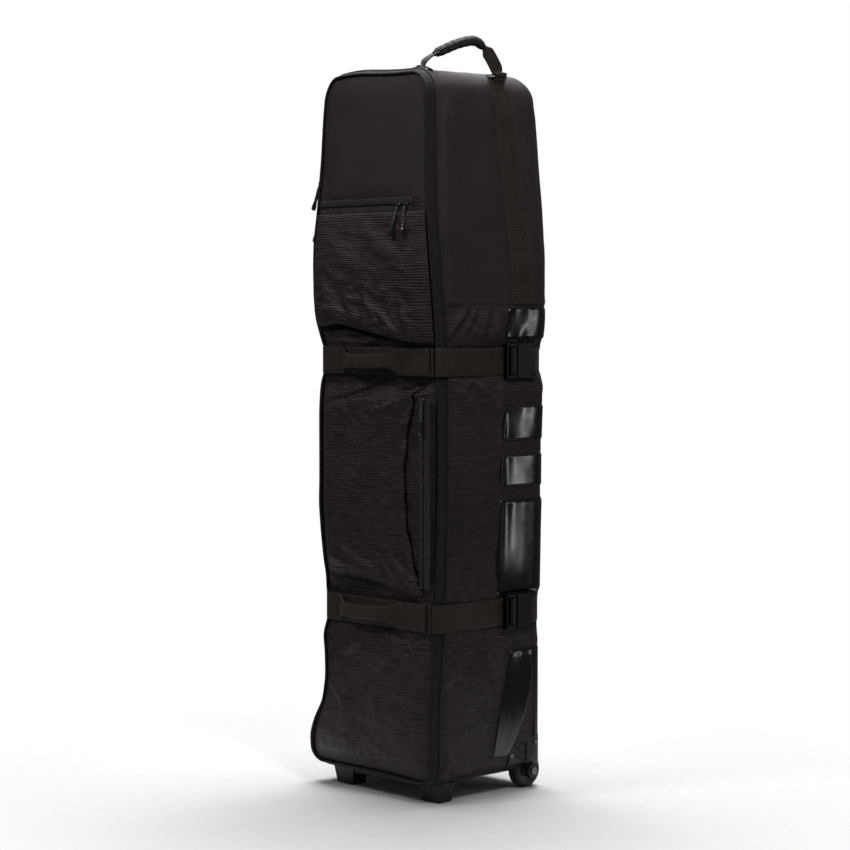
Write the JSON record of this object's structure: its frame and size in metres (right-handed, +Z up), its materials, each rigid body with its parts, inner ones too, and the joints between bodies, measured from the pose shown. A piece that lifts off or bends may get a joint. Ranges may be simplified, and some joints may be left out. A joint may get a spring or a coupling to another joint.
{
  "type": "golf travel case",
  "caption": "Tall soft-sided wheeled golf travel case with a full-height zipped door, compression straps with side-release buckles, zipped door pockets and a top carry handle.",
  "frame": {"origin": "on the floor, under the middle of the case", "axes": "+Z up, the door faces -Y, the buckles are on the +X side, the wheels are at the back (+Y)"},
  "size_m": [0.3529, 0.3077, 1.366],
  "materials": {
    "shell_fabric": "matte woven polyester, coated",
    "door_fabric": "matte woven polyester, coated",
    "webbing": "woven nylon webbing",
    "zip_tape": "woven zip tape with nylon coil",
    "piping": "fabric-covered piping cord",
    "board": "extruded sheet",
    "foam": "foam with knit lining",
    "moulded": "fine spark texture",
    "buckle_plastic": "satin acetal",
    "gloss_film": "glossy coated fabric",
    "tyre": "polyurethane",
    "hub": "moulded nylon",
    "steel": "zinc plated, darkened",
    "grip": "padded fabric wrap",
    "slider_metal": "black enamel",
    "pull_cord": "braided cord and moulded grip"
  },
  "bodies": {
    "case": {"top_panel": "shell_fabric", "bottom_panel": "shell_fabric", "back_panel": "shell_fabric", "right_side_upper": "shell_fabric", "right_side_lower": "shell_fabric", "left_side_upper": "shell_fabric", "left_side_lower": "shell_fabric", "base_board": "board", "back_board": "board", "crown_foam": "foam", "shell_zip_tape": "zip_tape", "shell_piping": "piping", "side_straps": "webbing", "side_guards": "gloss_film", "skid_rails": "moulded", "handle_tabs": "webbing", "front_feet": "moulded", "base_rail": "moulded", "wheel_housing_right": "moulded", "wheel_housing_left": "moulded", "housing_screws": "steel", "axle_bolts": "steel", "buckle_tabs": "webbing", "strap_anchors": "webbing", "upper_buckle_socket": "buckle_plastic", "lower_buckle_socket": "buckle_plastic"},
    "door": {"door_panel": "door_fabric", "door_piping": "piping", "door_zip_tape": "zip_tape", "upper_pocket": "door_fabric", "middle_pocket": "door_fabric", "pocket_zips": "zip_tape", "front_straps": "webbing", "grab_handles": "webbing"},
    "upper_strap_tail": {"upper_strap_webbing": "webbing", "upper_buckle_plug": "buckle_plastic"},
    "upper_arm_top": {"upper_buckle_arm_top": "buckle_plastic"},
    "upper_arm_bottom": {"upper_buckle_arm_bottom": "buckle_plastic"},
    "lower_strap_tail": {"lower_strap_webbing": "webbing", "lower_buckle_plug": "buckle_plastic"},
    "lower_arm_top": {"lower_buckle_arm_top": "buckle_plastic"},
    "lower_arm_bottom": {"lower_buckle_arm_bottom": "buckle_plastic"},
    "top_handle": {"handle_webbing": "webbing", "handle_grip": "grip"},
    "wheel_right": {"wheel_tyre_right": "tyre", "wheel_hub_right": "hub", "wheel_bearings_right": "steel"},
    "wheel_left": {"wheel_tyre_left": "tyre", "wheel_hub_left": "hub", "wheel_bearings_left": "steel"},
    "pocket_slider_left": {"pocket_slider_left": "slider_metal"},
    "pocket_slider_right": {"pocket_slider_right": "slider_metal"},
    "middle_slider": {"middle_slider": "slider_metal"},
    "main_slider_upper": {"main_slider_upper": "slider_metal"},
    "main_slider_lower": {"main_slider_lower": "slider_metal"},
    "pocket_pull_left": {"pocket_pull_left": "pull_cord"},
    "pocket_pull_right": {"pocket_pull_right": "pull_cord"},
    "middle_pull": {"middle_pull": "pull_cord"},
    "main_pull_upper": {"main_pull_upper": "pull_cord"},
    "main_pull_lower": {"main_pull_lower": "pull_cord"}
  },
  "joints": [
    {"name": "door_swing", "type": "hinge", "parent": "case", "child": "door", "pos_m": [-0.157, -0.1255, 0.66], "axis": [0, 0, -1], "range_deg": [0, 110]},
    {"name": "upper_tail_swing", "type": "hinge", "parent": "door", "child": "upper_strap_tail", "pos_m": [0.149, -0.11729, 0.785], "axis": [0, 0, -1], "range_deg": [0, 120]},
    {"name": "upper_arm_top_squeeze", "type": "hinge", "parent": "upper_strap_tail", "child": "upper_arm_top", "pos_m": [0.164, 0.066, 0.802], "axis": [-1, 0, 0], "range_deg": [0, 15], "stiffness_Nm_per_rad": 0.3},
    {"name": "upper_arm_bottom_squeeze", "type": "hinge", "parent": "upper_strap_tail", "child": "upper_arm_bottom", "pos_m": [0.164, 0.066, 0.768], "axis": [1, 0, 0], "range_deg": [0, 15], "stiffness_Nm_per_rad": 0.3},
    {"name": "lower_tail_swing", "type": "hinge", "parent": "door", "child": "lower_strap_tail", "pos_m": [0.149, -0.12556, 0.333], "axis": [0, 0, -1], "range_deg": [0, 120]},
    {"name": "lower_arm_top_squeeze", "type": "hinge", "parent": "lower_strap_tail", "child": "lower_arm_top", "pos_m": [0.164, 0.066, 0.35], "axis": [-1, 0, 0], "range_deg": [0, 15], "stiffness_Nm_per_rad": 0.3},
    {"name": "lower_arm_bottom_squeeze", "type": "hinge", "parent": "lower_strap_tail", "child": "lower_arm_bottom", "pos_m": [0.164, 0.066, 0.316], "axis": [1, 0, 0], "range_deg": [0, 15], "stiffness_Nm_per_rad": 0.3},
    {"name": "handle_flop", "type": "hinge", "parent": "case", "child": "top_handle", "pos_m": [0.104, -0.108, 1.305], "axis": [0.2351, 0.972, 0], "range_deg": [-30, 60]},
    {"name": "wheel_right_spin", "type": "hinge", "parent": "case", "child": "wheel_right", "pos_m": [0.132, 0.121, 0.032], "axis": [1, 0, 0], "continuous": true},
    {"name": "wheel_left_spin", "type": "hinge", "parent": "case", "child": "wheel_left", "pos_m": [-0.132, 0.121, 0.032], "axis": [1, 0, 0], "continuous": true},
    {"name": "pocket_slider_left_slide", "type": "slide", "parent": "door", "child": "pocket_slider_left", "axis": [1, 0, 0], "range_m": [-0.19, 0]},
    {"name": "pocket_slider_right_slide", "type": "slide", "parent": "door", "child": "pocket_slider_right", "axis": [1, 0, 0], "range_m": [0, 0.008]},
    {"name": "middle_slider_slide", "type": "slide", "parent": "door", "child": "middle_slider", "axis": [0, 0, 1], "range_m": [-0.3, 0]},
    {"name": "main_slider_upper_slide", "type": "slide", "parent": "case", "child": "main_slider_upper", "axis": [0, 0, 1], "range_m": [0, 0.12]},
    {"name": "main_slider_lower_slide", "type": "slide", "parent": "case", "child": "main_slider_lower", "axis": [0, 0, 1], "range_m": [-0.08, 0]},
    {"name": "pocket_pull_left_swing", "type": "hinge", "parent": "pocket_slider_left", "child": "pocket_pull_left", "pos_m": [0.072, -0.13985, 1.062], "axis": [-1, 0, 0], "range_deg": [0, 150]},
    {"name": "pocket_pull_right_swing", "type": "hinge", "parent": "pocket_slider_right", "child": "pocket_pull_right", "pos_m": [0.091, -0.13985, 1.062], "axis": [-1, 0, 0], "range_deg": [0, 150]},
    {"name": "middle_pull_swing", "type": "hinge", "parent": "middle_slider", "child": "middle_pull", "pos_m": [0.126, -0.13178, 0.716], "axis": [-1, 0, 0], "range_deg": [0, 150]},
    {"name": "main_pull_upper_swing", "type": "hinge", "parent": "main_slider_upper", "child": "main_pull_upper", "pos_m": [-0.15995, -0.12, 1.106], "axis": [0, 1, 0], "range_deg": [-6, 134]},
    {"name": "main_pull_lower_swing", "type": "hinge", "parent": "main_slider_lower", "child": "main_pull_lower", "pos_m": [-0.15995, -0.12, 1.048], "axis": [0, 1, 0], "range_deg": [-15, 78]}
  ],
  "couplings": [
    {"joint": "upper_arm_bottom_squeeze", "follows": "upper_arm_top_squeeze", "ratio": 1},
    {"joint": "lower_arm_bottom_squeeze", "follows": "lower_arm_top_squeeze", "ratio": 1}
  ]
}
